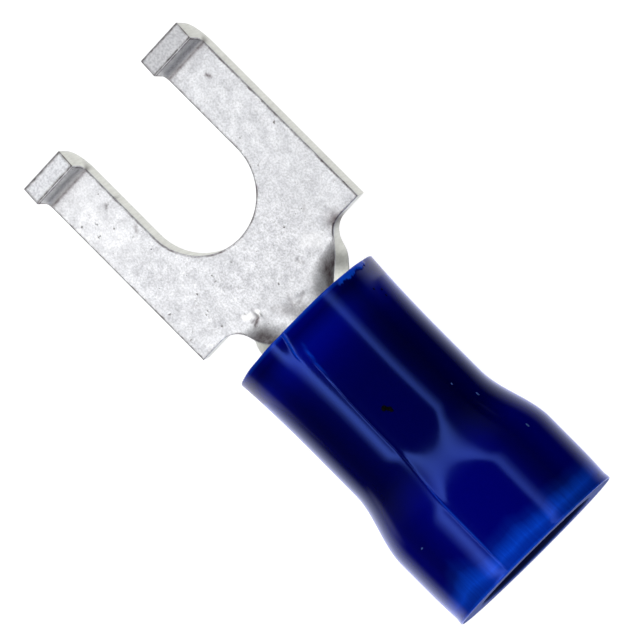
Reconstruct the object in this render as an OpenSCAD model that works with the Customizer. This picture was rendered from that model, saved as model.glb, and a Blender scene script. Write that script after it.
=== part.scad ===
// Fork terminal with turned-up tips and an insulating sleeve,
// for 1.5 to 2.5 mm2 stranded wire and a No. 8 or M4 stud.
// Sizes are in millimetres. The origin is the stud's centre on the underside of the fork:
// the tips point along +X, the tips turn up along +Z and the wire leaves along -X.

/* [Sheet] */
// Thickness of the tin-plated copper sheet
sheet_t = 0.76; // [0.6:0.02:0.9]

/* [Fork] */
// Width across both tines
fork_w = 8; // [7.4:0.1:9.4]
// Width of the slot, which is round at its closed end
slot_w = 4.3; // [3.5:0.05:5.2]
// Stud's centre to the far edge of the turned-up tips
tip_reach = 4.3; // [3.8:0.1:7]
// Stud's centre to the square shoulders
shoulder_reach = 4.1; // [3.4:0.1:6]

/* [Tips] */
// Height of the turned-up tips above the underside
tip_h = 1.58; // [1.3:0.02:2.4]
// Angle through which each tip is bent
tip_angle = 80; // [60:1:90]
// Inside radius of the bend
tip_bend_r = 0.28; // [0.15:0.01:0.4]

/* [Neck] */
// Width of the neck before it is rolled
neck_w = 4.5; // [3.8:0.1:4.8]
// Shoulders to the front of the barrel
neck_len = 2.1; // [1.7:0.1:4]
// Radius between a shoulder and the neck
neck_fillet_r = 0.8; // [0.4:0.05:1]
// Flat stretch behind the shoulders, before the neck starts to roll
neck_flat = 0.25; // [0.05:0.05:0.5]

/* [Barrel] */
// Inside diameter of the rolled barrel
barrel_id = 2.4; // [2.2:0.05:2.8]
// Length of the barrel along its underside
barrel_len = 5.8; // [4.8:0.1:7]
// How far the front edge leans back at the seam
barrel_rake = 0.7; // [0.3:0.1:1.5]
// Gap of the butt seam along the top
seam_gap = 0.1; // [0.05:0.01:0.3]
// Depth of the grip grooves round the inside
groove_depth = 0.08; // [0.04:0.01:0.15]
// Width of one grip groove
groove_w = 0.3; // [0.2:0.05:0.4]
// Spacing of the grip grooves
groove_pitch = 1.1; // [0.8:0.1:1.2]
// Chamfer at the wire's way in
entry_chamfer = 0.15; // [0.05:0.05:0.25]

/* [Sleeve] */
// Length of the insulating sleeve
sleeve_len = 10.9; // [10:0.1:13]
// Wall of the sleeve
sleeve_wall = 0.96; // [0.8:0.02:1.2]
// Play between the barrel and the sleeve, all round
sleeve_play = 0.03; // [0.02:0.01:0.06]
// How far the sleeve reaches in front of the barrel
sleeve_cover = 0.37; // [0.2:0.05:0.5]
// How far the front rim flares out from the waist
flare_h = 0.11; // [0.05:0.01:0.2]
// Length of the flare
flare_len = 3.3; // [2:0.1:4]
// Inside diameter at the rear, which takes the wire's insulation
entry_d = 5.06; // [4.6:0.02:5.6]
// Front rim to the start of the swell
swell_at = 5.25; // [4.5:0.05:6]
// Length of the swell
swell_len = 2.7; // [1.8:0.1:3]
// How far the rear rim is drawn in
tuck_h = 0.06; // [0.02:0.01:0.1]
// Length of the drawn-in stretch
tuck_len = 1.5; // [0.5:0.1:2]

/* [Hidden] */
$fn = 96;
// Overshoot of a cut past the face it opens
cut = 1;
// Depth to which the neck's ends sit in the fork and in the barrel's wall
bury = 0.2;
// The sheet thins by this much on each face as it rolls, so the neck's end stays inside the barrel's wall
roll_thin = 0.03;
// Curvature, as a share of the barrel's own, below which the neck counts as flat
flat_share = 0.001;
// Number of steps across the neck, round its fillets and along its roll
neck_across = 24;
fillet_steps = 9;
roll_steps = 10;
// Number of steps along one curve of the sleeve's outline
curve_steps = 14;
// Number of grip grooves
groove_n = 3;
bend_outer_r = tip_bend_r + sheet_t;
bend_z = sheet_t + tip_bend_r;
tip_leg = (tip_h - bend_z + tip_bend_r * cos(tip_angle)) / sin(tip_angle);
bend_x = tip_reach - bend_outer_r * sin(tip_angle) - tip_leg * cos(tip_angle);
barrel_r = barrel_id / 2 + sheet_t;
barrel_mid_r = (barrel_r + barrel_id / 2) / 2;
wire_z = barrel_r;
barrel_at = shoulder_reach + neck_len;
sleeve_at = barrel_at - sleeve_cover;
roll_at = shoulder_reach + neck_flat;
roll_len = barrel_at - roll_at;
bore_r = barrel_r + sleeve_play;
waist_r = bore_r + sleeve_wall;
entry_r = entry_d / 2;
rear_r = entry_r + sleeve_wall;
swell_end = swell_at + swell_len;
mouth_r = max([for (i = [0:roll_steps]) neck_corner_r(sleeve_at + sleeve_cover * i / roll_steps)]) + sleeve_play;

// Smooth rise from 0 to 1
function ease(t) = let (c = min(max(t, 0), 1)) c * c * (3 - 2 * c);

// Curvature of the neck at a distance behind the stud's centre, from flat to the barrel's own
function neck_bend(x) = ease((x - roll_at) / roll_len) / barrel_mid_r;

// Half of the unrolled width of the neck, with the shoulder's fillet
function neck_half(x) =
    let (back = min(max(shoulder_reach + neck_fillet_r - x, 0), neck_fillet_r))
    neck_w / 2 + neck_fillet_r - sqrt(neck_fillet_r * neck_fillet_r - back * back);

// Point of the neck: q runs across the sheet from its middle, h stands off its middle surface
function neck_point(x, q, h) =
    let (k = neck_bend(x), a = k * q * 180 / PI)
    k * barrel_mid_r < flat_share
        ? [-x, q, sheet_t / 2 + h]
        : [-x, (1 / k - h) * sin(a), sheet_t / 2 + 1 / k - (1 / k - h) * cos(a)];

// Distance of the neck's outer corner from the wire's axis
function neck_corner_r(x) =
    let (p = neck_point(x, neck_half(x), -sheet_t / 2))
    norm([p.y, p.z - wire_z]);

// Closed section through the neck: over its upper face and back along its underside
function neck_section(x) =
    let (w = neck_half(x), h = sheet_t / 2 - roll_thin * ease((x - roll_at) / roll_len))
    concat(
        [for (i = [0:neck_across]) neck_point(x, w * (2 * i / neck_across - 1), h)],
        [for (i = [neck_across:-1:0]) neck_point(x, w * (2 * i / neck_across - 1), -h)]
    );

// Outside radius of the sleeve at a distance behind its front rim
function sleeve_r(d) =
    waist_r
    + flare_h * pow(max(1 - d / flare_len, 0), 2)
    + (rear_r - waist_r) * ease((d - swell_at) / swell_len)
    - tuck_h * pow(max(1 - (sleeve_len - d) / tuck_len, 0), 2);

// Evenly spaced distances from one to another
function spread(from, to, n) = [for (i = [0:n]) from + (to - from) * i / n];

// Bent sheet seen from its edge: flat, bend and upright tip
module sheet_edge() {
    translate([-shoulder_reach, 0])
        square([shoulder_reach + bend_x, sheet_t]);
    translate([bend_x, bend_z]) {
        intersection() {
            difference() {
                circle(r = bend_outer_r);
                circle(r = tip_bend_r);
            }
            polygon(2 * bend_outer_r * [[0, 0], [0, -1], [1, -1], [sin(tip_angle), -cos(tip_angle)]]);
        }
        rotate(tip_angle)
            translate([0, -bend_outer_r])
                square([tip_leg, sheet_t]);
    }
}

// Fork with its slot and both turned-up tips
module fork() {
    difference() {
        rotate([90, 0, 0])
            linear_extrude(fork_w, center = true)
                sheet_edge();
        translate([0, 0, -cut]) {
            cylinder(d = slot_w, h = tip_h + 2 * cut);
            translate([0, -slot_w / 2, 0])
                cube([tip_reach + cut, slot_w, tip_h + 2 * cut]);
        }
    }
}

// Neck that rolls up from the flat fork into the barrel's round
module neck() {
    fillet_end = shoulder_reach + neck_fillet_r;
    stations = concat(
        [shoulder_reach - bury],
        [for (a = spread(0, 90, fillet_steps)) shoulder_reach + neck_fillet_r * (1 - cos(a))],
        [for (i = [1:roll_steps]) fillet_end + (barrel_at - fillet_end) * i / roll_steps],
        [barrel_at + bury]
    );
    ring = 2 * (neck_across + 1);
    last = (len(stations) - 1) * ring;
    polyhedron(
        points = [for (x = stations) each neck_section(x)],
        faces = concat(
            [for (i = [0:neck_across - 1]) each [[i, i + 1, ring - 2 - i], [i, ring - 2 - i, ring - 1 - i]]],
            [for (s = [0:len(stations) - 2]) for (i = [0:ring - 1])
                let (a = s * ring + i, b = s * ring + (i + 1) % ring)
                each [[a, a + ring, b + ring], [a, b + ring, b]]],
            [for (i = [0:neck_across - 1])
                let (a = last + i, b = last + ring - 1 - i)
                each [[a, b - 1, a + 1], [a, b, b - 1]]]
        )
    );
}

// Rolled barrel with its butt seam on top, drawn along the wire's axis
module barrel() {
    translate([-barrel_at, 0, wire_z]) rotate([0, -90, 0]) {
        difference() {
            cylinder(r = barrel_r, h = barrel_len);
            translate([0, 0, -cut])
                cylinder(d = barrel_id, h = barrel_len + 2 * cut);
            translate([0, 0, barrel_len - entry_chamfer])
                cylinder(d1 = barrel_id, d2 = barrel_id + 4 * entry_chamfer, h = 2 * entry_chamfer);
            for (i = [0:groove_n - 1])
                translate([0, 0, (barrel_len + barrel_rake) / 2 + groove_pitch * (i - (groove_n - 1) / 2)])
                    cylinder(d = barrel_id + 2 * groove_depth, h = groove_w, center = true);
            translate([0, -seam_gap / 2, -cut])
                cube([barrel_r + cut, seam_gap, barrel_len + 2 * cut]);
            rotate([0, atan(-barrel_rake / barrel_r), 0])
                translate([0, -barrel_r - cut, -barrel_len])
                    cube([2 * barrel_len, 2 * (barrel_r + cut), barrel_len]);
        }
    }
}

// One tin-plated copper stamping: fork, neck and barrel
module terminal_body() {
    color("silver")
        union() {
            fork();
            neck();
            barrel();
        }
}

// Blue vinyl sleeve, pushed over the barrel
module insulating_sleeve() {
    outside = concat(
        spread(0, flare_len, curve_steps),
        spread(swell_at, swell_end, curve_steps),
        spread(sleeve_len - tuck_len, sleeve_len, curve_steps)
    );
    color("mediumblue")
        translate([-sleeve_at, 0, wire_z])
            rotate([0, -90, 0])
                rotate_extrude()
                    polygon(concat(
                        [for (d = outside) [sleeve_r(d), d]],
                        [[entry_r, sleeve_len]],
                        [for (d = spread(swell_end, swell_at, curve_steps))
                            [bore_r + (entry_r - bore_r) * ease((d - swell_at) / swell_len), d]],
                        [[bore_r, 2 * sleeve_cover], [mouth_r, 0]]
                    ));
}

terminal_body();
insulating_sleeve();
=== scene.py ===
"""Insulated fork terminal: a tin-plated copper stamping in a blue vinyl sleeve, dressed and lit."""

import logging
import math
from dataclasses import dataclass
from enum import Enum

import bmesh
import bpy
from mathutils import Matrix, Vector, noise


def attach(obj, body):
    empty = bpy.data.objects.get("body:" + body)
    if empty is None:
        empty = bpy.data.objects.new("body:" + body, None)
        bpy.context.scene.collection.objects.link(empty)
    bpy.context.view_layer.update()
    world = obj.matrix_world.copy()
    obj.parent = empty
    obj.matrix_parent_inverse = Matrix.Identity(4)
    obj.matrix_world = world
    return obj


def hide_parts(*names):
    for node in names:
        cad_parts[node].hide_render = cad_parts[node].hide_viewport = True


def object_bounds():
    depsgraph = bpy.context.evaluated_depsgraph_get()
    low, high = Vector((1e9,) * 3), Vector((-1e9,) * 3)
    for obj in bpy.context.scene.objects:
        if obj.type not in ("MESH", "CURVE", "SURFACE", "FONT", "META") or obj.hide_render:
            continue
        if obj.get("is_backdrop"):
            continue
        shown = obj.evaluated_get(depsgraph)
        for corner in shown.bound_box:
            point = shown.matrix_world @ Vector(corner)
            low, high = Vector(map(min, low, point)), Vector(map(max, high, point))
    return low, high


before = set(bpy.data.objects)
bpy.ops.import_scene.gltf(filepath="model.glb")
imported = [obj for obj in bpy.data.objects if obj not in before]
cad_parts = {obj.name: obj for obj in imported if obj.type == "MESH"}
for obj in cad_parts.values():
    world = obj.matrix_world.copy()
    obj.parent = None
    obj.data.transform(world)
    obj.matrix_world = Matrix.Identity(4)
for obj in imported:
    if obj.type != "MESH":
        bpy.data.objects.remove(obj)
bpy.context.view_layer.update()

MM = 0.001
NEAR = 0.001
log = logging.getLogger("fork_terminal")

Flat = tuple[float, float]
Colour = tuple[float, float, float, float]

# Settings that many shader nodes share.
MIX = {"data_type": "RGBA"}
TINT = {"data_type": "RGBA", "blend_type": "MULTIPLY"}
TIMES = {"operation": "MULTIPLY"}
TIMES_TO_ONE = {"operation": "MULTIPLY", "use_clamp": True}
LARGER = {"operation": "MAXIMUM"}


class Slot(Enum):
    """Material slots of the record that the pieces take their finish from."""

    TIN = "tin_plate"
    VINYL = "blue_vinyl"


class Side(Enum):
    """Sides of the ring light, named for where they stand seen from the camera."""

    RIGHT = "right"
    LEFT = "left"
    TIPS = "tips"
    WIRE = "wire"


def ease(t: float) -> float:
    """Smooth rise from 0 to 1 as t goes from 0 to 1."""
    c = min(max(t, 0.0), 1.0)
    return c * c * (3.0 - 2.0 * c)


def bell(t: float) -> float:
    """Soft bump of height 1 at t = 0 that has faded by t = 2."""
    return math.exp(-t * t)


def uneven(x: float, y: float, z: float) -> float:
    """Smooth noise from about -1 to 1 at one point."""
    return noise.noise(Vector((x, y, z)))


def linear(code: str) -> Colour:
    """Turn an sRGB hex colour into the linear colour that the shaders take.

    Args:
        code: colour as six hex digits after a hash sign.

    Returns:
        Linear red, green, blue and an alpha of 1.
    """
    parts = [int(code[i:i + 2], 16) / 255.0 for i in (1, 3, 5)]
    light = [c / 12.92 if c <= 0.04045 else ((c + 0.055) / 1.055) ** 2.4 for c in parts]
    return (light[0], light[1], light[2], 1.0)


def grey(level: float) -> Colour:
    """Linear grey of one level."""
    return (level, level, level, 1.0)


GLOW_ONLY = {"Emission Color": grey(1.0), "Base Color": grey(0.0), "Specular IOR Level": 0.0}


def cloud(size_mm: float, detail: float = 2.0, roughness: float = 0.5) -> dict[str, float]:
    """Scale and detail of a pattern whose lumps are size_mm across."""
    return {"Scale": 1.0 / (size_mm * MM), "Detail": detail, "Roughness": roughness}


def span(low: float, high: float, start: float = 0.0, end: float = 1.0) -> dict[str, float]:
    """Ends of a range in which low turns into start and high into end."""
    return {"From Min": low, "From Max": high, "To Min": start, "To Max": end}


def wire(tree: bpy.types.NodeTree, node: bpy.types.Node, values: dict | None = None,
         links: dict | None = None) -> None:
    """Set fixed values at a node's sockets and join its incoming links.

    Args:
        tree: node tree that holds the node.
        node: node to set up.
        values: fixed values, by the name or number of the socket.
        links: output sockets to join, by the name or number of the node's own socket.
    """
    for name, value in (values or {}).items():
        node.inputs[name].default_value = value
    for name, source in (links or {}).items():
        tree.links.new(source, node.inputs[name])


def add_node(tree: bpy.types.NodeTree, kind: str, out: str | int = 0, settings: dict | None = None,
             values: dict | None = None, links: dict | None = None,
             stops: list[tuple[float, Colour]] | None = None) -> bpy.types.NodeSocket:
    """Add one shader node with its settings, its fixed values and its incoming links.

    Args:
        tree: node tree that takes the node.
        kind: Blender's name for this kind of shader node.
        out: name or number of the output to return.
        settings: properties of the node.
        values: fixed values, by the name or number of the socket.
        links: output sockets to join, by the name or number of the node's own socket.
        stops: places from 0 to 1 on a colour ramp, each with a linear colour.

    Returns:
        The chosen output of the new node.
    """
    node = tree.nodes.new(f"ShaderNode{kind}")
    for name, value in (settings or {}).items():
        setattr(node, name, value)
    wire(tree, node, values, links)
    if stops:
        marks = node.color_ramp.elements
        while len(marks) < len(stops):
            marks.new(1.0)
        for mark, (place, colour) in zip(marks, stops):
            mark.position, mark.color = place, colour
    return node.outputs[out]


def new_material(name: str) -> tuple[bpy.types.Material, bpy.types.NodeTree, bpy.types.Node]:
    """Start a material with one principled shader joined to its output.

    Args:
        name: name of the finish.

    Returns:
        The material, its node tree and its principled shader.
    """
    material = bpy.data.materials.new(name)
    material.use_nodes = True
    tree = material.node_tree
    return material, tree, tree.nodes["Principled BSDF"]


def new_object(name: str, points: list[Vector], faces: list[list[int]],
               shares: dict[str, list[float]] | None = None) -> bpy.types.Object:
    """Make a smooth-shaded mesh object from points in millimetres.

    Args:
        name: name of the piece.
        points: corner points in millimetres, in the part's frame.
        faces: corner numbers of each face.
        shares: what the finish reads at each point, by name.

    Returns:
        The object, linked into the scene.
    """
    mesh = bpy.data.meshes.new(name)
    mesh.from_pydata([p * MM for p in points], [], faces)
    mesh.update()
    for polygon in mesh.polygons:
        polygon.use_smooth = True
    for title, values in (shares or {}).items():
        mesh.attributes.new(title, "FLOAT", "POINT").data.foreach_set("value", values)
    piece = bpy.data.objects.new(name, mesh)
    bpy.context.scene.collection.objects.link(piece)
    return piece


def lattice(spokes: int, rows: int, closed: bool = False) -> list[list[int]]:
    """List the faces between spokes of points that go all the way round.

    Args:
        spokes: number of spokes.
        rows: number of points on each spoke.
        closed: whether the last point of a spoke joins its first.

    Returns:
        Corner numbers of each face, one spoke after another.
    """
    faces = []
    for i in range(spokes):
        here, there = i * rows, (i + 1) % spokes * rows
        for k in range(rows if closed else rows - 1):
            m = (k + 1) % rows
            faces.append([here + k, here + m, there + m, there + k])
    return faces


@dataclass(frozen=True)
class TinPlate:
    """Matte electroplated tin on copper sheet: pale grey, soft-sheened, mottled, with dark pinholes."""

    light: str = "#DFE0E3"
    dull: str = "#D0D1D5"
    pit: str = "#85807E"
    # Colour of the painted shade in the folds and of the dark along the cut edges.
    painted_shade_and_dark_edge: str = "#554749"
    painted_highlight: str = "#FCFCFC"
    roughness: float = 0.46
    mottle_mm: float = 0.32
    # The plating's own grain is far finer. It is drawn coarse enough to show.
    grain_mm: float = 0.07
    grain_levels: Flat = (0.75, 1.02)
    pit_mm: float = 0.26
    pit_span: Flat = (0.66, 0.733)

    def build(self) -> bpy.types.Material:
        """Build the plated finish with its mottle, grain and pinholes, its painted highlights, and the painted
        shade in its folds and the dark along its cut edges.

        Returns:
            The material.
        """
        material, tree, shader = new_material("matte_tin_plate")
        place = add_node(tree, "TexCoord", "Object")
        patterns = (cloud(self.mottle_mm, 5.0, 0.65), cloud(self.grain_mm, 2.0, 0.6), cloud(self.pit_mm, 3.0, 0.7))
        mottle, grain, holes = (
            add_node(tree, "TexNoise", values=pattern, links={"Vector": place}) for pattern in patterns)
        tone = add_node(tree, "ValToRGB", links={"Fac": mottle}, stops=[
            (0.32, linear(self.dull)), (0.62, linear(self.light))])
        speckle = add_node(tree, "ValToRGB", links={"Fac": grain}, stops=[
            (0.3, grey(self.grain_levels[0])), (0.62, grey(self.grain_levels[1]))])
        pitted = add_node(tree, "ValToRGB", links={"Fac": holes}, stops=[
            (self.pit_span[0], grey(0.0)), (self.pit_span[1], grey(1.0))])
        toned = add_node(tree, "Mix", 2, TINT, {"Factor": 1.0}, {6: tone, 7: speckle})
        marked = add_node(tree, "Mix", 2, MIX, {7: linear(self.pit)}, {"Factor": pitted, 6: toned})
        # Painted highlights, from the points of the sheet.
        highlight_mask = add_node(tree, "Attribute", "Fac", {"attribute_name": "painted_highlight"})
        highlighted = add_node(tree, "Mix", 2, MIX, {7: linear(self.painted_highlight)}, {"Factor": highlight_mask, 6: marked})
        # Painted shade in the folds and near the bend, and dark along the cut edges, broken up by the mottle.
        shade_mask = add_node(tree, "Attribute", "Fac", {"attribute_name": "painted_shade_and_dark_edge"})
        broken = add_node(tree, "MapRange", values=span(0.3, 0.7, 1.25, 0.7), links={"Value": mottle})
        shade_amount = add_node(tree, "Math", settings=TIMES_TO_ONE, links={0: shade_mask, 1: broken})
        shaded = add_node(tree, "Mix", 2, MIX, {7: linear(self.painted_shade_and_dark_edge)}, {"Factor": shade_amount, 6: highlighted})
        dull = add_node(tree, "ValToRGB", links={"Fac": mottle}, stops=[
            (0.3, grey(self.roughness + 0.06)), (0.65, grey(self.roughness - 0.04))])
        relief = add_node(tree, "Bump", values={"Strength": 0.35, "Distance": 0.006 * MM}, links={"Height": grain})
        sunk = add_node(tree, "Bump", settings={"invert": True}, values={"Strength": 0.6, "Distance": 0.02 * MM},
                        links={"Height": pitted, "Normal": relief})
        wire(tree, shader, {"Metallic": 1.0}, {"Base Color": shaded, "Roughness": dull, "Normal": sunk})
        return material


@dataclass(frozen=True)
class ShearedEdge:
    """Edge of the sheet as the die cut it, dipped in tin: paler and warmer, with fine upright drag lines."""

    name: str = "sheared_tinned_edge"
    light: str = "#EEEFE9"
    dull: str = "#E2E3DC"
    roughness: float = 0.5
    # Real drag lines are finer. These are drawn coarse enough to show.
    drag_mm: float = 0.08
    drag_pull: float = 0.12
    painted_shade_and_dark_edge: str = "#3E3433"

    def build(self) -> bpy.types.Material:
        """Build the cut edge with drag lines that run through the sheet's thickness.

        Returns:
            The material.
        """
        material, tree, shader = new_material(self.name)
        place = add_node(tree, "TexCoord", "Object")
        pulled = add_node(tree, "Mapping", values={"Scale": (1.0, 1.0, self.drag_pull)}, links={"Vector": place})
        drag = add_node(tree, "TexNoise", values=cloud(self.drag_mm, 3.0), links={"Vector": pulled})
        tone = add_node(tree, "ValToRGB", links={"Fac": drag}, stops=[
            (0.3, linear(self.dull)), (0.6, linear(self.light))])
        # Painted shade and dark outlines on the cut faces, from the points of the sheet.
        edge_shade = add_node(tree, "Attribute", "Fac", {"attribute_name": "painted_shade_and_dark_edge"})
        shaded = add_node(tree, "Mix", 2, MIX, {7: linear(self.painted_shade_and_dark_edge)}, {"Factor": edge_shade, 6: tone})
        relief = add_node(tree, "Bump", values={"Strength": 0.3, "Distance": 0.006 * MM}, links={"Height": drag})
        wire(tree, shader, {"Metallic": 1.0, "Roughness": self.roughness},
             {"Base Color": shaded, "Normal": relief})
        return material


@dataclass(frozen=True)
class BlueVinyl:
    """Glossy moulded vinyl: deep navy, painted darker over the metal and painted a clearer blue as a glow where
    thin wall lets light through.
    """

    # Base tones by distance behind the front rim, with painted light in them: a clearer blue glow near the front
    # rim and over the rear, darker navy over the middle.
    tones: tuple[tuple[float, str], ...] = (
        (0.0, "#000470"), (0.2, "#00026C"), (0.42, "#000058"), (0.68, "#00046E"), (0.95, "#00067C"),
        (1.25, "#000376"), (1.8, "#00005E"), (2.4, "#000051"), (3.1, "#00004A"), (6.2, "#00004A"),
        (7.2, "#00006E"), (10.9, "#00006E"))
    # Painted glow of light through the thin wall near the rear rim, by distance from the rim.
    rear_glow: tuple[Flat, ...] = (
        (0.0, 0.6), (0.05, 0.5), (0.12, 0.26), (0.3, 0.34), (0.5, 0.58), (0.75, 0.38), (1.05, 0.1), (1.5, 0.0))
    # Clearer blue that paints the glow of light through the thin rims, and that the moulding's paler marks take
    # too.
    thin: str = "#0C58FA"
    shade: tuple[Flat, ...] = (
        (-78.0, 1.0), (-70.0, 0.95), (-64.0, 0.7), (-57.0, 0.46), (-50.0, 0.56), (-42.0, 0.86), (-34.0, 1.0),
        (10.0, 1.0), (17.0, 0.85), (22.0, 0.74), (27.0, 0.63), (32.0, 0.66), (36.0, 0.88), (41.0, 1.0))
    gloss: str = "#5C82FF"
    bloom: str = "#1038FF"
    bloom_weight: float = 0.6
    bloom_spread: float = 0.2
    axis_mm: float = 1.96
    ior: float = 1.53
    roughness: float = 0.13
    draw_pull: float = 0.06
    streak_mm: float = 0.09
    band_mm: float = 1.3
    ripple_mm: float = 1.1
    # The front lip's painted glow of light through the thin rim: its width and strength.
    lip_mm: float = 0.16
    lip_glow: float = 0.4

    def build(self, front_mm: float, rear_mm: float) -> bpy.types.Material:
        """Build the vinyl, with its tones, painted glow and painted shade set out along and round the sleeve.

        Args:
            front_mm: place of the front rim along X.
            rear_mm: place of the rear rim.

        Returns:
            The material.
        """
        material, tree, shader = new_material("glossy_blue_vinyl")
        place = add_node(tree, "TexCoord", "Object")
        along, side, up = add_node(tree, "SeparateXYZ", links={"Vector": place}).node.outputs
        share = add_node(tree, "MapRange", values=span(front_mm * MM, rear_mm * MM), links={"Value": along})
        length = front_mm - rear_mm
        plain = add_node(tree, "ValToRGB", links={"Fac": share}, stops=[
            (d / length, linear(code)) for d, code in self.tones])
        # Painted shade: two darker stripes beside the flatter top, set by the angle round the wire's axis.
        height = add_node(tree, "Math", settings={"operation": "SUBTRACT"},
                          values={1: self.axis_mm * MM}, links={0: up})
        turn = add_node(tree, "Math", settings={"operation": "ARCTAN2"}, links={0: side, 1: height})
        around = add_node(tree, "MapRange", values=span(-math.pi, math.pi), links={"Value": turn})
        depth = add_node(tree, "ValToRGB", links={"Fac": around}, stops=[
            (a / 360.0 + 0.5, grey(level)) for a, level in self.shade])
        body = add_node(tree, "Mix", 2, TINT, {"Factor": 1.0}, {6: plain, 7: depth})
        drawn = add_node(tree, "Mapping", values={"Scale": (self.draw_pull, 1.0, 1.0)}, links={"Vector": place})
        patterns = (cloud(self.streak_mm, 3.0, 0.6), cloud(self.band_mm), cloud(self.ripple_mm, 3.0))
        streak, band, ripple = (
            add_node(tree, "TexNoise", values=pattern, links={"Vector": drawn}) for pattern in patterns)
        # The painted glow of light through the thin wall at the rear wanders a little on its way round.
        stretch = add_node(tree, "MapRange", values=span(0.3, 0.7, 1.3, 0.8), links={"Value": band})
        reach = self.rear_glow[-1][0]
        inward = add_node(tree, "MapRange", settings={"clamp": False},
                          values=span(rear_mm * MM, (rear_mm + reach) * MM), links={"Value": along})
        shifted = add_node(tree, "Math", settings=TIMES, links={0: inward, 1: stretch})
        rear = add_node(tree, "ValToRGB", links={"Fac": shifted}, stops=[
            (d / reach, grey(level)) for d, level in self.rear_glow])
        fine = add_node(tree, "MapRange", values=span(0.25, 0.7, 0.7, 1.05), links={"Value": streak})
        glow = add_node(tree, "Math", settings=TIMES, links={0: rear, 1: fine})
        # Painted glow of light through the thin front lip.
        lip = add_node(tree, "MapRange", links={"Value": along},
                       values=span((front_mm - self.lip_mm) * MM, front_mm * MM, 0.0, self.lip_glow))
        rims = add_node(tree, "Math", settings=LARGER, links={0: glow, 1: lip})
        torn = add_node(tree, "Attribute", "Fac", {"attribute_name": "pale"})
        bright = add_node(tree, "Math", settings=LARGER, links={0: rims, 1: torn})
        # The rims' painted glow and the moulding's paler marks both mix in the clearer blue.
        tone = add_node(tree, "Mix", 2, MIX, {7: linear(self.thin)}, {"Factor": bright, 6: body})
        sheen = add_node(tree, "ValToRGB", links={"Fac": ripple}, stops=[
            (0.3, grey(self.roughness - 0.02)), (0.7, grey(self.roughness + 0.04))])
        wave = add_node(tree, "Bump", values={"Strength": 0.25, "Distance": 0.01 * MM}, links={"Height": ripple})
        lines = add_node(tree, "Bump", values={"Strength": 0.12, "Distance": 0.004 * MM},
                         links={"Height": streak, "Normal": wave})
        wire(tree, shader, {
            "IOR": self.ior, "Specular Tint": linear(self.gloss), "Sheen Weight": self.bloom_weight,
            "Sheen Roughness": self.bloom_spread, "Sheen Tint": linear(self.bloom),
        }, {"Base Color": tone, "Roughness": sheen, "Normal": lines})
        return material


@dataclass(frozen=True)
class MouldedBore:
    """Inside and end faces of the sleeve as the core pin left them: duller, with painted shade deep inside and a
    painted glow of light through the thin wall near the rims.
    """

    # Clearer blue of the painted glow at the rims, and deep navy of the painted shade inside.
    rim: str = "#163F98"
    deep: str = "#040C3E"
    front_rim_mm: float = 0.15
    rear_rim_mm: float = 0.08
    roughness: float = 0.6
    scuff_mm: float = 0.12

    def build(self, front_mm: float, rear_mm: float) -> bpy.types.Material:
        """Build the dull vinyl of the inside.

        Args:
            front_mm: place of the front rim along X.
            rear_mm: place of the rear rim.

        Returns:
            The material.
        """
        material, tree, shader = new_material("dull_moulded_bore")
        place = add_node(tree, "TexCoord", "Object")
        along = add_node(tree, "SeparateXYZ", "X", links={"Vector": place})
        # Painted glow near each rim, fading to painted shade deeper in.
        rear, front = (
            add_node(tree, "MapRange", values=span(inner * MM, outer * MM), links={"Value": along})
            for inner, outer in ((rear_mm + self.rear_rim_mm, rear_mm), (front_mm - self.front_rim_mm, front_mm)))
        ends = add_node(tree, "Math", settings=LARGER, links={0: rear, 1: front})
        scuff = add_node(tree, "TexNoise", values=cloud(self.scuff_mm, 3.0), links={"Vector": place})
        scuff_and_tine_highlight = add_node(tree, "MapRange", values=span(0.0, 1.0, 0.5, 1.1), links={"Value": scuff})
        lit = add_node(tree, "Math", settings=TIMES_TO_ONE, links={0: ends, 1: scuff_and_tine_highlight})
        tone = add_node(tree, "ValToRGB", links={"Fac": lit}, stops=[
            (0.0, linear(self.deep)), (1.0, linear(self.rim))])
        relief = add_node(tree, "Bump", values={"Strength": 0.3, "Distance": 0.01 * MM}, links={"Height": scuff})
        wire(tree, shader, {"Roughness": self.roughness, "Specular IOR Level": 0.1},
             {"Base Color": tone, "Normal": relief})
        return material


@dataclass(frozen=True)
class Grime:
    """Dry dirt or dust caught on the vinyl: dead matte, a little uneven."""

    name: str
    light: str
    dark: str
    lump_mm: float = 0.06

    def build(self) -> bpy.types.Material:
        """Build the matte, lumpy finish.

        Returns:
            The material.
        """
        material, tree, shader = new_material(self.name)
        place = add_node(tree, "TexCoord", "Object")
        lump = add_node(tree, "TexNoise", values=cloud(self.lump_mm), links={"Vector": place})
        tone = add_node(tree, "ValToRGB", links={"Fac": lump}, stops=[
            (0.3, linear(self.dark)), (0.7, linear(self.light))])
        wire(tree, shader, {"Roughness": 0.9, "Specular IOR Level": 0.05}, {"Base Color": tone})
        return material


@dataclass(frozen=True)
class RingLight:
    """Diffuser of the ring light: each side glows as brightly as its points say."""

    def build(self) -> bpy.types.Material:
        """Build the diffuser, which only gives off light.

        Returns:
            The material.
        """
        material, tree, shader = new_material("ring_diffuser")
        glow = add_node(tree, "Attribute", "Fac", {"attribute_name": "glow"})
        wire(tree, shader, GLOW_ONLY, {"Emission Strength": glow})
        return material


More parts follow.
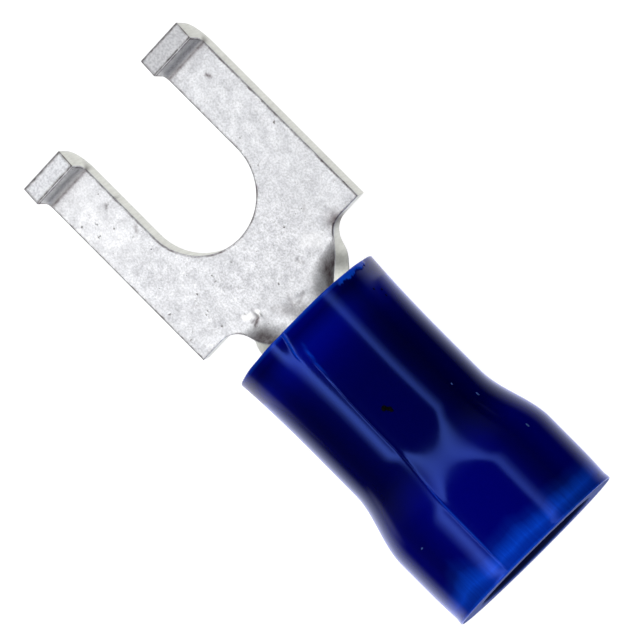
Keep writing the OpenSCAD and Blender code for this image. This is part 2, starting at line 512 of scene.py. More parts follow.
@dataclass(frozen=True)
class FadingCard:
    """Pale card under the part that throws light back up: bright near the part, fading to both sides."""

    name: str
    right_mm: Flat
    left_mm: Flat = (12.0, 60.0)
    glow: float = 0.95
    tint: str = "#FFFFFF"
    fall: float = 1.6

    def build(self) -> bpy.types.Material:
        """Build the card, whose glow follows the distance from the part.

        Returns:
            The material.
        """
        material, tree, shader = new_material(self.name)
        place = add_node(tree, "TexCoord", "Object")
        across = add_node(tree, "SeparateXYZ", "Y", links={"Vector": place})
        near, far = (
            add_node(tree, "MapRange", values=span(dark * MM, bright * MM), links={"Value": across})
            for dark, bright in (self.right_mm, reversed(self.left_mm)))
        both = add_node(tree, "Math", settings=TIMES, links={0: near, 1: far})
        soft = add_node(tree, "Math", settings={"operation": "POWER"}, values={1: self.fall}, links={0: both})
        glow = add_node(tree, "Math", settings=TIMES, values={1: self.glow}, links={0: soft})
        wire(tree, shader, GLOW_ONLY | {"Emission Color": linear(self.tint)}, {"Emission Strength": glow})
        return material


@dataclass(frozen=True)
class PaleFloor:
    """White light-table sheet: its own glow does most of the work, so shadows stay faint."""

    sheet: str = "#7C7C7C"
    glow: float = 0.95

    def build(self) -> bpy.types.Material:
        """Build the sheet, which gives off some of its own light.

        Returns:
            The material.
        """
        material, tree, shader = new_material("white_table_sheet")
        wire(tree, shader, {"Base Color": linear(self.sheet), "Roughness": 0.9, "Emission Color": grey(1.0),
                            "Emission Strength": self.glow})
        return material


@dataclass
class StampedTerminal:
    """Fork, neck and barrel, laid out flat as the die cuts them and then bent to shape. Sizes in millimetres."""

    sheet_t: float = 0.76
    fork_w: float = 8.0
    slot_w: float = 4.3
    tip_reach: float = 4.3
    shoulder_reach: float = 4.1
    tip_h: float = 1.58
    tip_angle: float = math.radians(80.0)
    tip_bend_r: float = 0.28
    neck_w: float = 4.5
    neck_len: float = 2.1
    neck_fillet_r: float = 0.8
    neck_flat: float = 0.25
    barrel_bore_d: float = 2.4
    barrel_len: float = 5.8
    barrel_rake: float = 0.7
    seam_gap: float = 0.1
    groove_depth: float = 0.08
    groove_w: float = 0.3
    groove_pitch: float = 1.1
    groove_n: int = 3
    groove_slope: float = 0.006
    entry_chamfer: float = 0.15
    edge_r: float = 0.045
    edge_steps: int = 3
    end_rows: tuple[float, ...] = (0.05, 0.1, 0.16, 0.3, 0.5, 0.7, 0.84, 0.9, 0.95)
    cell: float = 0.065
    hidden_cell: float = 0.24
    cell_shift: float = 0.503
    shown_margin: Flat = (0.2, 0.05)

    @property
    def mid_r(self) -> float:
        """Radius of the barrel's middle surface."""
        return (self.barrel_bore_d + self.sheet_t) / 2.0

    @property
    def wire_z(self) -> float:
        """Height of the wire's axis."""
        return self.barrel_bore_d / 2.0 + self.sheet_t

    @property
    def barrel_at(self) -> float:
        """Distance of the barrel's front behind the stud's centre."""
        return self.shoulder_reach + self.neck_len

    @property
    def roll_at(self) -> float:
        """Distance behind the stud's centre at which the neck starts to roll."""
        return self.shoulder_reach + self.neck_flat

    @property
    def tip_leg(self) -> float:
        """Straight length of a turned-up tip above its bend."""
        rise = self.tip_bend_r * (1.0 - math.cos(self.tip_angle))
        return (self.tip_h - self.sheet_t - rise) / math.sin(self.tip_angle)

    @property
    def bend_x(self) -> float:
        """Place at which the tips start to bend."""
        outer = self.tip_bend_r + self.sheet_t
        return self.tip_reach - outer * math.sin(self.tip_angle) - self.tip_leg * math.cos(self.tip_angle)

    @property
    def bend_mid_r(self) -> float:
        """Radius of the tips' bend at the middle of the sheet."""
        return self.tip_bend_r + self.sheet_t / 2.0

    @property
    def rear_x(self) -> float:
        """Place of the barrel's rear edge."""
        return -self.barrel_at - self.barrel_len

    @property
    def grooves(self) -> list[Flat]:
        """Front and rear place of each grip groove in the barrel.

        Returns:
            Pairs of places along X.
        """
        spare = self.barrel_len + self.barrel_rake - self.groove_pitch * (self.groove_n - 1)
        middles = [-self.barrel_at - spare / 2.0 - self.groove_pitch * i for i in range(self.groove_n)]
        return [(middle + self.groove_w / 2.0, middle - self.groove_w / 2.0) for middle in middles]

    def half_outline(self) -> list[Flat]:
        """Trace the left half of the flat blank, from the slot's closed end round to the barrel's rear edge.

        Returns:
            Points along and across the blank.
        """
        slot_r = self.slot_w / 2.0
        tip = self.bend_x + self.bend_mid_r * self.tip_angle + self.tip_leg
        side = self.fork_w / 2.0
        neck = self.neck_w / 2.0
        fillet = self.neck_fillet_r
        seam = self.mid_r * math.pi - self.seam_gap / 2.0
        rear = self.rear_x
        quarter = [math.radians(3.0 * i) for i in range(31)]
        path = [(-slot_r * math.cos(a), slot_r * math.sin(a)) for a in quarter]
        path += [(tip, slot_r), (tip, side), (-self.shoulder_reach, side)]
        path += [(-self.shoulder_reach - fillet * (1.0 - math.cos(a)), neck + fillet * (1.0 - math.sin(a)))
                 for a in quarter[::2]]
        path += [(-self.barrel_at, neck)]
        over = [math.pi / 2.0 + (seam / self.mid_r - math.pi / 2.0) * i / 20.0 for i in range(21)]
        lean = self.barrel_rake * self.mid_r / self.wire_z
        path += [(-self.barrel_at + lean * math.cos(a), self.mid_r * a) for a in over]
        path += [(rear, seam), (rear, 0.0)]
        return path

    def outline(self) -> list[Flat]:
        """Trace the whole blank, anticlockwise."""
        left = self.half_outline()
        return left + [(x, -q) for x, q in reversed(left[1:-1])]

    def inset(self, path: list[Flat], depth: float) -> list[Flat]:
        """Move an anticlockwise outline inwards.

        Args:
            path: points of the closed outline.
            depth: distance to move each edge.

        Returns:
            The same number of points, moved.
        """
        moved = []
        for i, here in enumerate(path):
            before, after = path[i - 1], path[(i + 1) % len(path)]
            into = Vector((here[0] - before[0], here[1] - before[1])).normalized()
            out = Vector((after[0] - here[0], after[1] - here[1])).normalized()
            first, second = Vector((-into.y, into.x)), Vector((-out.y, out.x))
            shift = (first + second) * (depth / (1.0 + first.dot(second)))
            moved.append((here[0] + shift.x, here[1] + shift.y))
        return moved

    def blank(self) -> bmesh.types.BMesh:
        """Mesh the flat blank in small cells, with rows of points round its rounded edge.

        Returns:
            A flat mesh in X and Y whose points carry their distance from the cut edge.
        """
        sheet = bmesh.new()
        depth = sheet.verts.layers.float.new("depth")
        path = self.outline()
        rows = []
        insets = [self.edge_r * (1.0 - math.cos(math.pi / 2.0 * step / self.edge_steps))
                  for step in range(self.edge_steps + 1)]
        for inward in insets + [2.0 * self.edge_r]:
            row = [sheet.verts.new((x, q, 0.0)) for x, q in self.inset(path, inward)]
            for point in row:
                point[depth] = inward
            rows.append(row)
        for outer, inner in zip(rows, rows[1:]):
            for i in range(len(path)):
                j = (i + 1) % len(path)
                sheet.faces.new((outer[i], outer[j], inner[j], inner[i]))
        sheet.faces.new(rows[-1])
        low_x, high_x = self.rear_x, max(x for x, _ in path)
        high_q = self.mid_r * math.pi
        shown_x, shown_q = -self.barrel_at - self.shown_margin[0], self.fork_w / 2.0 + self.shown_margin[1]
        cuts = [(0, low_x, shown_x, self.hidden_cell), (0, shown_x, high_x, self.cell),
                (1, -high_q, -shown_q, self.hidden_cell), (1, -shown_q, shown_q, self.cell),
                (1, shown_q, high_q, self.hidden_cell)]
        steps = [(0, low_x + self.entry_chamfer)]
        for edge in (edge for groove in self.grooves for edge in groove):
            steps += [(0, edge - self.groove_slope), (0, edge + self.groove_slope)]
        # The cells are cut a little off their middles, so that no cut runs along the outline's own points.
        for axis, low, high, cell in cuts:
            count = round((high - low) / cell)
            steps += [(axis, low + (high - low) * (i + self.cell_shift) / count) for i in range(count)]
        for axis, at in steps:
            normal = Vector((1.0, 0.0, 0.0)) if axis == 0 else Vector((0.0, 1.0, 0.0))
            bmesh.ops.bisect_plane(sheet, geom=sheet.verts[:] + sheet.edges[:] + sheet.faces[:], dist=1e-5,
                                   plane_co=normal * at, plane_no=normal)
        return sheet

    def rolled(self, x: float) -> float:
        """Share of the barrel's full curve that the sheet has taken on at x."""
        return ease((-x - self.roll_at) / (self.barrel_at - self.roll_at))

    def place(self, x: float, q: float, h: float) -> Vector:
        """Bend one point of the blank to its place on the finished terminal.

        Args:
            x: distance along the blank from the stud's centre.
            q: distance across the blank from its middle.
            h: height over the sheet's middle surface.

        Returns:
            The point in the part's frame, in millimetres.
        """
        middle = self.sheet_t / 2.0
        if x > self.bend_x:
            turned = min((x - self.bend_x) / self.bend_mid_r, self.tip_angle)
            straight = x - self.bend_x - self.bend_mid_r * turned
            arm = self.bend_mid_r - h
            return Vector((
                self.bend_x + arm * math.sin(turned) + straight * math.cos(turned), q,
                middle + self.bend_mid_r - arm * math.cos(turned) + straight * math.sin(turned)))
        if self.rolled(x) < NEAR:
            return Vector((x, q, middle + h))
        curve = self.rolled(x) / self.mid_r
        arm = 1.0 / curve - h
        return Vector((x, arm * math.sin(curve * q), middle + 1.0 / curve - arm * math.cos(curve * q)))

    def bore_cut(self, x: float) -> float:
        """Depth cut from the inside of the barrel by the grip grooves and the chamfer of the wire's entry."""
        groove = self.groove_depth if any(rear < x < front for front, rear in self.grooves) else 0.0
        return max(groove, self.entry_chamfer - (x - self.rear_x))

    def marks(self, x: float, q: float) -> float:
        """Height of the nicks and ripples that handling left in the upper face.

        Args:
            x: distance along the blank.
            q: distance across the blank.

        Returns:
            Height in millimetres, below zero for a dent.
        """
        lump = 0.016 * bell((x + 4.28 + 0.5 * (q - 1.69)) / 0.24) * bell((q - 1.66) / 0.14)
        gouge = -0.05 * bell((x + 4.42) / 0.16) * bell((q - 1.46) / 0.06)
        crease = -0.03 * bell((x + 5.0 - 0.3 * q) / 0.1) * bell((q + 0.1) / 0.5)
        chip = -0.03 * bell((x + 4.09) / 0.07) * bell((q + 1.0) / 0.1)
        wave = 0.006 * uneven(x * 0.9, q * 0.9, 3.0)
        return lump + gouge + crease + chip + wave

    def streak(self, x: float, q: float, start: Flat, end: Flat, width: float) -> float:
        """Share of a straight rubbed mark at one point of the blank.

        Args:
            x: distance along the blank.
            q: distance across the blank.
            start: one end of the mark.
            end: its other end.
            width: half of the mark's width.

        Returns:
            A share from 0 to 1.
        """
        run = Vector((end[0] - start[0], end[1] - start[1]))
        away = Vector((x - start[0], q - start[1]))
        share = min(max(away.dot(run) / run.length_squared, 0.0), 1.0)
        return bell((away - run * share).length / width)

    def painted_highlight(self, x: float, q: float) -> float:
        """Share of painted highlight: on the dent at the neck's left shoulder, on the right shoulder of the neck
        and along the outer part of the left tine.

        Args:
            x: distance along the blank.
            q: distance across the blank.

        Returns:
            A share from 0 to 1.
        """
        torn = uneven(x * 6.0, q * 6.0, 5.0)
        # Painted highlights, each with a ragged edge.
        dent_highlight = 0.9 * ease((self.streak(x, q, (-4.15, 1.86), (-4.34, 1.46), 0.15) + 0.35 * torn - 0.35) / 0.35)
        shoulder_highlight = 0.3 * ease((self.streak(x, q, (-3.9, -1.6), (-4.15, -1.9), 0.3) + 0.3 * torn - 0.2) / 0.6)
        scuff_and_tine_highlight = 0.14 * ease((q - 2.0) / 0.8) * ease((x + 0.5) / 1.5)
        return max(dent_highlight, shoulder_highlight, scuff_and_tine_highlight)

    def scratches_and_crease_shade(self, x: float, q: float) -> float:
        """Share of dark in the scratches of the upper face, and of painted shade in the crease at the tips' bend
        and along the crease by the sleeve.

        Args:
            x: distance along the blank.
            q: distance across the blank.

        Returns:
            A share from 0 to 1.
        """
        # Both ends of each scratch, half of its width and how dark it is. The three joined marks that start at
        # (-4.70, 0.24) are painted shade along the crease by the sleeve.
        marks = (
            ((-4.45, 1.50), (-4.60, 1.84), 0.06, 0.85), ((-4.40, 1.80), (-4.50, 1.62), 0.05, 0.6),
            ((-4.70, 0.24), (-5.03, 0.39), 0.07, 0.3), ((-5.03, 0.39), (-5.13, 0.09), 0.06, 0.5),
            ((-5.13, 0.09), (-4.98, -0.26), 0.06, 0.35), ((-4.95, 0.72), (-5.45, 0.22), 0.22, 0.3),
            ((-4.62, 0.95), (-4.8, 0.7), 0.08, 0.25), ((-4.05, -0.87), (-4.3, -0.97), 0.05, 0.42),
            ((2.3, -3.3), (2.46, -3.22), 0.055, 0.85), ((0.55, 2.45), (0.72, 2.33), 0.06, 0.5),
            ((1.84, 2.2), (1.93, 2.12), 0.05, 0.45), ((1.86, 2.62), (1.97, 2.55), 0.06, 0.4),
            ((-2.6, 2.9), (-2.75, 2.7), 0.04, 0.3), ((-3.1, -2.3), (-3.0, -2.45), 0.05, 0.3),
        )
        # Painted shade in the crease where the tips start to bend.
        crease = 0.72 * bell((x - self.bend_x - 0.22) / 0.17)
        return max(crease, *(share * self.streak(x, q, start, end, width) for start, end, width, share in marks))

    def painted_shade_and_dark_edge(self, x: float, q: float, inward: float) -> float:
        """Share of brownish painted shade where the neck rolls up, near the tips' bend and at the right shoulder,
        and of dark along the cut edges.

        Args:
            x: distance along the blank.
            q: distance across the blank.
            inward: distance from the cut edge, up to twice the edge's own rounding.

        Returns:
            A share from 0 to 1.
        """
        off_edge = ease(inward / self.edge_r)
        # Painted shade on the sides of the neck where it rolls up, wider on the right.
        fold_from = 1.42 if q > 0.0 else 1.12
        fold = 0.86 * ease((abs(q) - fold_from) / 0.55) * ease(self.rolled(x) / 0.3) * off_edge
        # Painted shade along the right shoulder's rolled edge.
        shoulder_shade = 0.8 * bell((x + 4.1) / 0.3) * bell((q + 2.85) / 0.32)
        # Painted shade on the flat just before the tips' bend.
        bend = 0.08 * ease((x - self.bend_x + 0.8) / 0.8)
        # Darker along the cut edges, most of all towards the tips' ends.
        ends = 0.3 * ease((x - self.bend_x - 0.6) / 0.4)
        patchy = uneven(x * 2.3, q * 2.3, 8.0) + 0.7 * uneven(x * 9.0, q * 9.0, 2.0)
        rim = (0.48 + ends + 0.75 * patchy) * bell((inward - 0.9 * self.edge_r) / (0.6 * self.edge_r))
        return min(max(fold, rim, shoulder_shade, bend * off_edge), 1.0)

    def end_shade_and_outline(self, q: float, share: float) -> float:
        """Share of dark along the outline of a tip's end face, and of painted shade over the whole of the right
        tip's end face.

        Args:
            q: distance across the blank.
            share: place through the sheet, from 0 at the upper face to 1 at the lower.

        Returns:
            A share from 0 to 1.
        """
        through = min(share, 1.0 - share) * self.sheet_t
        beside = min(abs(q) - self.slot_w / 2.0, self.fork_w / 2.0 - abs(q))
        patchy = uneven(q * 5.0, share * 4.0, 6.0) + 0.7 * uneven(q * 17.0, share * 13.0, 1.0)
        # Painted shade over the right tip's end face.
        dull = 0.24 if q < 0.0 else 0.0
        return min(max((0.8 + 0.6 * patchy) * bell(min(through, beside) / 0.06), dull), 1.0)

    def build(self) -> bpy.types.Object:
        """Bend the blank to shape and close its edges.

        Returns:
            The piece, with its painted shade, its dark edges and its painted highlights at each point.
        """
        sheet = self.blank()
        depth = sheet.verts.layers.float["depth"]
        sheet.verts.index_update()
        points: list[Vector] = []
        shade_shares: list[float] = []
        highlight_shares: list[float] = []
        for upper in (True, False):
            for vert in sheet.verts:
                x, q = vert.co.x, vert.co.y
                left = max(self.edge_r - vert[depth], 0.0)
                height = self.sheet_t / 2.0 - self.edge_r + math.sqrt(max(self.edge_r ** 2 - left ** 2, 0.0))
                lift = self.marks(x, q) - self.bore_cut(x) if upper else 0.0
                points.append(self.place(x, q, height + lift if upper else -height))
                painted_shade_and_dark_edge = self.painted_shade_and_dark_edge(x, q, vert[depth])
                shade_shares.append(max(painted_shade_and_dark_edge, self.scratches_and_crease_shade(x, q)) if upper else painted_shade_and_dark_edge)
                highlight_shares.append(self.painted_highlight(x, q) if upper else 0.0)
        count = len(sheet.verts)
        faces = [[v.index for v in face.verts] for face in sheet.faces]
        faces += [[v + count for v in reversed(face)] for face in faces[:]]
        tip = max(v.co.x for v in sheet.verts) - NEAR
        walls, ends = [], []
        ladders: dict[int, list[int]] = {}
        for vert in (v for v in sheet.verts if v.is_boundary and v.co.x > tip):
            high, low = vert.index, vert.index + count
            shade_shares[high] = max(shade_shares[high], self.end_shade_and_outline(vert.co.y, 0.0))
            shade_shares[low] = max(shade_shares[low], self.end_shade_and_outline(vert.co.y, 1.0))
            ladders[high] = [high, *range(len(points), len(points) + len(self.end_rows)), low]
            points += [points[high].lerp(points[low], share) for share in self.end_rows]
            shade_shares += [self.end_shade_and_outline(vert.co.y, share) for share in self.end_rows]
            highlight_shares += [0.0] * len(self.end_rows)
        for edge in sheet.edges:
            if edge.is_boundary:
                corner = edge.link_loops[0]
                a, b = corner.vert.index, corner.link_loop_next.vert.index
                if min(v.co.x for v in edge.verts) > tip:
                    steps = zip(ladders[a], ladders[b], ladders[b][1:], ladders[a][1:])
                    ends += [[a_low, b_low, b_high, a_high] for a_high, b_high, b_low, a_low in steps]
                else:
                    rise, fall = ladders.get(b, [])[-2:0:-1], ladders.get(a, [])[1:-1]
                    walls.append([a + count, b + count, *rise, b, a, *fall])
        sheet.free()
        piece = new_object("terminal_sheet", points, faces + walls + ends, {"painted_shade_and_dark_edge": shade_shares, "painted_highlight": highlight_shares})
        for polygon in piece.data.polygons[len(faces):]:
            polygon.use_smooth = polygon.index < len(faces) + len(walls)
            polygon.material_index = 1 if polygon.use_smooth else 2
        even = piece.modifiers.new("even_shading", "WEIGHTED_NORMAL")
        even.weight = 60
        even.keep_sharp = True
        return piece

    def dress(self, piece: bpy.types.Object) -> None:
        """Give the piece its plated faces and cut edges, and put it in place of the CAD stamping.

        Args:
            piece: the bent sheet.
        """
        piece.data.materials.append(TinPlate().build())
        piece.data.materials.append(ShearedEdge().build())
        piece.data.materials.append(ShearedEdge("sheared_tip_end", "#F4F5F8", "#D4D5DA", 0.62).build())
        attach(piece, "root")
        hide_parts("terminal_body")


@dataclass
class VinylSleeve:
    """Moulded sleeve with a flared front, a swell over the wire's insulation and a parting line. Sizes in mm."""

    front: float = 5.83
    length: float = 10.9
    wire_z: float = 1.96
    bore_r: float = 1.99
    wall: float = 0.96
    flare_h: float = 0.11
    flare_len: float = 3.3
    entry_r: float = 2.53
    swell_at: float = 5.34
    swell_len: float = 2.72
    tuck_h: float = 0.06
    tuck_len: float = 1.5
    mouth_r: float = 2.16
    mouth_len: float = 0.74
    rim_r: float = 0.05
    row_step: float = 0.1
    fine_step: float = 0.035
    fine_rows: int = 28
    turn_step: float = 1.5
    line_h: float = 0.014
    line_w: float = 0.035
    lip_h: float = 0.05

    def radius(self, d: float) -> float:
        """Outside radius without the moulding's marks.

        Args:
            d: distance behind the front rim.

        Returns:
            Radius in millimetres.
        """
        flare = self.flare_h * max(1.0 - d / self.flare_len, 0.0) ** 2
        swell = (self.entry_r - self.bore_r) * ease((d - self.swell_at) / self.swell_len)
        tuck = self.tuck_h * max(1.0 - (self.length - d) / self.tuck_len, 0.0) ** 2
        return self.bore_r + self.wall + flare + swell - tuck

    def inner(self, d: float) -> float:
        """Inside radius.

        Args:
            d: distance behind the front rim.

        Returns:
            Radius in millimetres.
        """
        if d < self.mouth_len:
            return self.mouth_r + (self.bore_r - self.mouth_r) * d / self.mouth_len
        return self.bore_r + (self.entry_r - self.bore_r) * ease((d - self.swell_at) / self.swell_len)

    def profile(self) -> list[tuple[float, float, bool]]:
        """Trace the wall's section from the front rim over the outside, round the rear rim and back inside.

        Returns:
            Distance behind the front rim, radius, and whether the point is on the outside.
        """
        r, last = self.rim_r, self.length
        quarter = [math.radians(30.0 * i) for i in range(4)]
        path = [(r * (1.0 - math.sin(a)), self.radius(0.0) - r * (1.0 - math.cos(a)), True)
                for a in reversed(quarter)]
        fine = [r + self.fine_step * i for i in range(1, self.fine_rows)]
        rows = int((last - r - fine[-1]) / self.row_step)
        outside = fine + [fine[-1] + (last - r - fine[-1]) * i / rows for i in range(1, rows)]
        path += [(d, self.radius(d), True) for d in outside]
        path += [(last - r * (1.0 - math.sin(a)), self.radius(last) - r * (1.0 - math.cos(a)), True)
                 for a in quarter]
        path = [p for i, p in enumerate(path) if i == 0 or p != path[i - 1]]
        path += [(last - r * (1.0 - math.cos(a)), self.entry_r + r * (1.0 - math.sin(a)), False) for a in quarter]
        path += [(d, self.inner(d), False) for d in reversed(outside[::2])]
        path += [(r * (1.0 - math.sin(a)), self.inner(0.0) + r * (1.0 - math.cos(a)), False) for a in quarter]
        return path

    def turns(self) -> list[float]:
        """Angles round the sleeve from its top, closer together at the parting lines and where the sleeve shows.

        Returns:
            Angles in radians, above zero towards +Y.
        """
        close = [0.25, 0.5, 0.75, 1.0]
        angles = {round(self.turn_step * i, 3) for i in range(round(360.0 / self.turn_step))}
        for line in (0.0, 180.0):
            angles |= {round((line + sign * a) % 360.0, 3) for a in close for sign in (-1.0, 1.0)}
        angles |= {round(self.turn_step * i / 3.0, 3) for i in range(0, 75)}
        angles |= {round(270.0 + self.turn_step * i / 3.0, 3) for i in range(0, 93)}
        return [math.radians(a if a <= 180.0 else a - 360.0) for a in sorted(angles)]

    def relief(self, d: float, turn: float) -> tuple[float, float]:
        """Height of the moulding's marks over the plain outside, and how pale they leave the vinyl.

        Args:
            d: distance behind the front rim.
            turn: angle from the top, in radians.

        Returns:
            Height in millimetres, and a share from 0 to 1.
        """
        around = turn * self.radius(d)
        below = (math.pi - abs(turn)) * self.radius(d)
        start = ease((d - 0.6) / 0.5)
        wander = around + 0.32 * math.exp(-max(d - 0.7, 0.0) / 1.4)
        line = bell(wander / self.line_w) * start + bell(below / self.line_w)
        bed = bell(wander / 0.3) * start
        past = around + 0.02 - 0.2 * ease(d / 1.05)
        pinch = bell(past / (0.38 if past > 0.0 else 0.06)) * ease((1.4 - d) / 1.2)
        fold = bell((past + 0.03) / 0.04) * ease((1.25 - d) / 0.5)
        sway = uneven(d * 0.35, math.cos(turn) * 2.2, math.sin(turn) * 2.2)
        torn = uneven(turn * 11.0, 1.7, 0.0) + 0.7 * uneven(turn * 37.0, d * 3.0, 0.0)
        span = ease((turn + 1.46) / 0.1) * ease((-0.84 - turn) / 0.1)
        flake = span * ease((0.2 + 0.12 * torn - d) / 0.05)
        lip = self.lip_h * ease((d - self.length + 0.3) / 0.3)
        height = (self.line_h * line - 0.01 * bed - 0.05 * pinch + 0.016 * fold + 0.008 * sway
                  + 0.03 * flake + lip)
        shown = max(ease((2.8 - d) / 1.8), 0.8 * ease((d - 6.5) / 1.5))
        pale = max(0.35 * line * shown, 0.45 * fold, 0.62 * flake)
        return height, min(pale, 1.0)

    def build(self) -> bpy.types.Object:
        """Turn the wall's section round the wire's axis, with the moulding's marks on its outside.

        Returns:
            The sleeve, with its paler marks at each point.
        """
        path, turns = self.profile(), self.turns()
        points: list[Vector] = []
        pales: list[float] = []
        for turn in turns:
            ragged = 0.03 * uneven(math.cos(turn) * 3.0, math.sin(turn) * 3.0, 0.4)
            for d, r, outside in path:
                height, pale = self.relief(d, turn) if outside else (0.0, 0.0)
                back = d + ragged * ease((0.4 - d) / 0.4)
                points.append(Vector((-self.front - back, (r + height) * math.sin(turn),
                                      self.wire_z + (r + height) * math.cos(turn))))
                pales.append(pale)
        rows = len(path)
        faces = [[a, d, c, b] for a, b, c, d in lattice(len(turns), rows, closed=True)]
        piece = new_object("vinyl_sleeve", points, faces, {"pale": pales})
        shown = sum(1 for _, _, outside in path if outside)
        for number, polygon in enumerate(piece.data.polygons):
            polygon.material_index = 0 if number % rows < shown - 1 else 1
        return piece

    def dress(self, piece: bpy.types.Object) -> None:
        """Give the sleeve its vinyl and put it in place of the CAD sleeve.

        Args:
            piece: the turned sleeve.
        """
        for finish in (BlueVinyl(), MouldedBore()):
            piece.data.materials.append(finish.build(-self.front, -self.front - self.length))
        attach(piece, "root")
        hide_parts("insulating_sleeve")


@dataclass
class Specks:
    """Bits of dirt and dust on the sleeve, each a flattened lump. Sizes in millimetres.

    A lump is its distance behind the front rim, its angle from the top in degrees, and half its length and width.
    """

    sleeve: VinylSleeve
    name: str
    finish: Grime
    lumps: tuple[tuple[float, float, float, float], ...]
    thickness: float = 0.02

    def build(self) -> bpy.types.Object:
        """Lay each lump on the sleeve's outside.

        Returns:
            One object that holds all the lumps.
        """
        points: list[Vector] = []
        faces: list[list[int]] = []
        for number, (d, turn_deg, along, across) in enumerate(self.lumps):
            ball = bmesh.new()
            bmesh.ops.create_icosphere(ball, subdivisions=3, radius=1.0)
            start = len(points)
            for vert in ball.verts:
                rough = 1.0 + 0.35 * noise.noise(vert.co * 1.6 + Vector((number * 7.0, 0.0, 0.0)))
                back = d + vert.co.x * along * rough
                around = math.radians(turn_deg) + vert.co.y * across * rough / self.sleeve.radius(d)
                r = self.sleeve.radius(back) + self.sleeve.relief(back, around)[0]
                r += vert.co.z * self.thickness * rough
                points.append(Vector((-self.sleeve.front - back, r * math.sin(around),
                                      self.sleeve.wire_z + r * math.cos(around))))
            ball.verts.index_update()
            faces += [[start + v.index for v in reversed(face.verts[:])] for face in ball.faces]
            ball.free()
        return new_object(self.name, points, faces)

    def dress(self, piece: bpy.types.Object) -> None:
        """Give the lumps their dry finish and let them ride with the sleeve.

        Args:
            piece: the object that holds the lumps.
        """
        piece.data.materials.append(self.finish.build())
        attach(piece, "root")


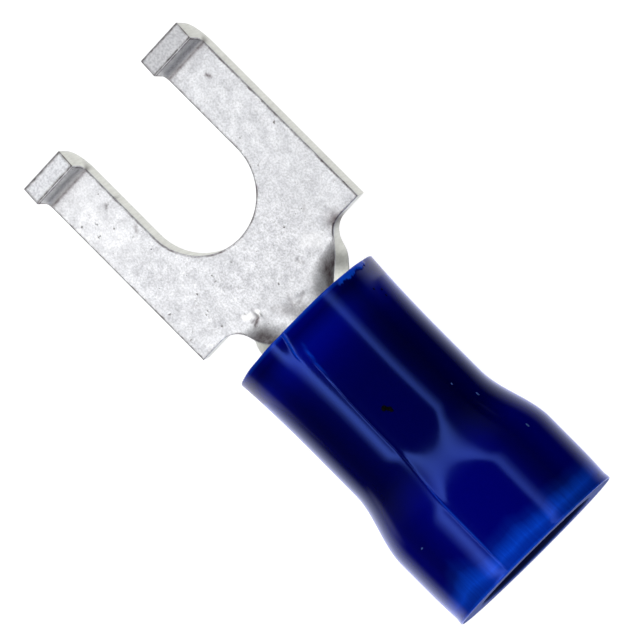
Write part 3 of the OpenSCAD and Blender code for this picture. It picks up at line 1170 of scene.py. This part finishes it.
@dataclass
class Studio:
    """Pale floor, soft lights and the camera. Sizes in millimetres unless named otherwise."""

    target: tuple[float, float, float] = (-6.043, 0.032, 0.776)
    right: tuple[float, float, float] = (-0.7026, -0.6531, -0.2826)
    up: tuple[float, float, float] = (0.7054, -0.6914, -0.1559)
    frame_w: float = 21.53
    lens: float = 342.0
    sensor: float = 36.0
    ring_far: float = 160.0
    ring_spokes: int = 96
    ring_rows: int = 13
    ring_pinches: tuple[tuple[float, float, float], ...] = ((210.0, 15.0, 10.0), (328.0, 15.0, 5.0))
    wall_far: float = 2400.0
    wall_h: float = 1500.0
    wall_turns: int = 64
    floor_half: float = 2500.0

    def camera(self) -> bpy.types.Object:
        """Stand the camera where the photograph was taken from, with a long lens.

        Returns:
            The camera.
        """
        across, upward = Vector(self.right), Vector(self.up)
        back = across.cross(upward).normalized()
        turn = Matrix((across, upward, back)).transposed().to_4x4()
        data = bpy.data.cameras.new("photo_camera")
        data.lens, data.sensor_width = self.lens, self.sensor
        data.clip_start, data.clip_end = 0.005, 20.0
        camera = bpy.data.objects.new("photo_camera", data)
        far = self.frame_w * self.lens / self.sensor
        camera.matrix_world = Matrix.Translation((Vector(self.target) + back * far) * MM) @ turn
        bpy.context.scene.collection.objects.link(camera)
        bpy.context.scene.camera = camera
        return camera

    def ring(self, camera: bpy.types.Object) -> None:
        """Hang a wide soft ring light round the camera's line of sight, with a dark middle for the lens.

        Args:
            camera: camera that the ring stands round.
        """
        back = camera.matrix_world.to_3x3().col[2].normalized()
        rear = Vector((-1.0, 0.0, 0.0))
        rear = (rear - back * rear.dot(back)).normalized()
        across = back.cross(rear).normalized()
        if across.y > 0.0:
            across.negate()
        # Inner and outer edge of each side in degrees off the line of sight, and its glow.
        plan = {
            Side.RIGHT: (36.5, 51.5, 3.4),
            Side.LEFT: (38.6, 60.5, 5.9),
            Side.TIPS: (36.6, 57.0, 5.1),
            Side.WIRE: (41.0, 58.0, 1.6),
        }
        points: list[Vector] = []
        glows: list[float] = []
        spokes, rows = self.ring_spokes, self.ring_rows
        for i in range(spokes):
            a = 2.0 * math.pi * i / spokes
            c, s = math.cos(a), math.sin(a)
            shares = {Side.RIGHT: max(c, 0.0) ** 2, Side.LEFT: min(c, 0.0) ** 2,
                      Side.WIRE: max(s, 0.0) ** 2, Side.TIPS: min(s, 0.0) ** 2}
            inner, outer, glow = (sum(share * plan[side][k] for side, share in shares.items()) for k in range(3))
            outer -= sum(deep * bell((math.degrees(a) - at) / wide) for at, wide, deep in self.ring_pinches)
            for k in range(rows):
                share = k / (rows - 1)
                tilt = math.radians(inner + (outer - inner) * share)
                away = back * math.cos(tilt) + (across * c + rear * s) * math.sin(tilt)
                points.append(Vector(self.target) + away * self.ring_far)
                glows.append(glow * ease((share + 0.25) / 0.5) * (1.0 - 0.9 * ease((share - 0.2) / 0.8)))
        ring = new_object("ring_light", points, lattice(spokes, rows), {"glow": glows})
        ring.data.materials.append(RingLight().build())
        ring.visible_camera = ring.visible_shadow = False
        ring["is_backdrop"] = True

    def sheet(self, name: str, low: Flat, high: Flat, z: float) -> bpy.types.Object:
        """Lay one flat sheet.

        Args:
            name: name of the sheet.
            low: lowest X and Y.
            high: highest X and Y.
            z: height.

        Returns:
            The sheet, marked as stage.
        """
        corners = [Vector((low[0], low[1], z)), Vector((high[0], low[1], z)),
                   Vector((high[0], high[1], z)), Vector((low[0], high[1], z))]
        sheet = new_object(name, corners, [[0, 1, 2, 3]])
        sheet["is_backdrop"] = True
        return sheet

    def floor(self, z: float) -> None:
        """Lay the pale floor, and the bright cards that throw light back up at the part.

        Args:
            z: height of the floor.
        """
        half = self.floor_half
        floor = self.sheet("floor", (-half, -half), (half, half), z)
        floor.data.materials.append(PaleFloor().build())
        floor.visible_glossy = False
        floor.visible_diffuse = False
        cards = ((FadingCard("sleeve_card", (-7.6, -2.6), (6.0, 30.0), 1.5, "#E2E8FF"), -60.0, -6.4),
                 (FadingCard("fork_card", (-18.0, -7.0)), -6.4, 45.0))
        for finish, x_from, x_to in cards:
            card = self.sheet(finish.name, (x_from, -40.0), (x_to, 80.0), z - 0.02)
            card.data.materials.append(finish.build())
            card.visible_camera = card.visible_shadow = card.visible_transmission = False

    def backdrop(self, z: float) -> None:
        """Stand a pale wall far off all round, which only the camera sees.

        Args:
            z: height of the floor.
        """
        angles = [2.0 * math.pi * i / self.wall_turns for i in range(self.wall_turns)]
        points = [Vector((self.wall_far * math.cos(a), self.wall_far * math.sin(a), h))
                  for a in angles for h in (z, z + self.wall_h)]
        wall = new_object("backdrop", points, lattice(self.wall_turns, 2))
        wall.data.materials.append(PaleFloor().build())
        wall.visible_glossy = wall.visible_diffuse = wall.visible_shadow = wall.visible_transmission = False
        wall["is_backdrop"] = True

    def world(self) -> None:
        """Light the room dimly, brighter low down beyond the tips and beyond the wire."""
        world = bpy.data.worlds.new("dim_studio")
        bpy.context.scene.world = world
        world.use_nodes = True
        tree = world.node_tree
        way = add_node(tree, "TexCoord", "Generated")
        along = add_node(tree, "SeparateXYZ", "X", links={"Vector": way})
        ends = add_node(tree, "Math", settings={"operation": "ABSOLUTE"}, links={0: along})
        tone = add_node(tree, "ValToRGB", links={"Fac": ends}, stops=[(0.35, grey(0.03)), (0.8, grey(0.42))])
        wire(tree, tree.nodes["Background"], links={"Color": tone})

    def build(self) -> None:
        """Set up the camera, lights, floor and room."""
        camera = self.camera()
        bpy.context.view_layer.update()
        floor_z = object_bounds()[0][2] / MM - 0.01
        self.ring(camera)
        self.floor(floor_z)
        self.backdrop(floor_z)
        self.world()
        bpy.context.scene.view_settings.view_transform = "Standard"


def main() -> None:
    """Build the terminal, its sleeve and the studio in order."""
    logging.basicConfig(level=logging.INFO, format="%(name)s: %(message)s")
    sleeve = VinylSleeve()
    dirt = Grime("dry_black_dirt", "#070708", "#020202")
    dust = Grime("pale_dust", "#46609C", "#2A3F80")
    makers = [
        StampedTerminal(),
        sleeve,
        Specks(sleeve, "dirt_specks", dirt, (
            (4.17, -13.8, 0.1, 0.09), (4.33, -16.3, 0.11, 0.07), (4.24, -15.0, 0.09, 0.06),
            (1.03, -69.0, 0.05, 0.04), (1.2, -75.0, 0.04, 0.04), (1.45, -74.0, 0.05, 0.03))),
        Specks(sleeve, "dust_specks", dust, (
            (5.94, -68.0, 0.08, 0.04), (7.84, -70.0, 0.07, 0.05), (8.28, 30.0, 0.03, 0.07),
            (5.11, -59.0, 0.05, 0.03))),
    ]
    for maker in makers:
        piece = maker.build()
        maker.dress(piece)
        log.info("%s: %d faces", piece.name, len(piece.data.polygons))
    Studio().build()


if __name__ == "__main__":
    main()
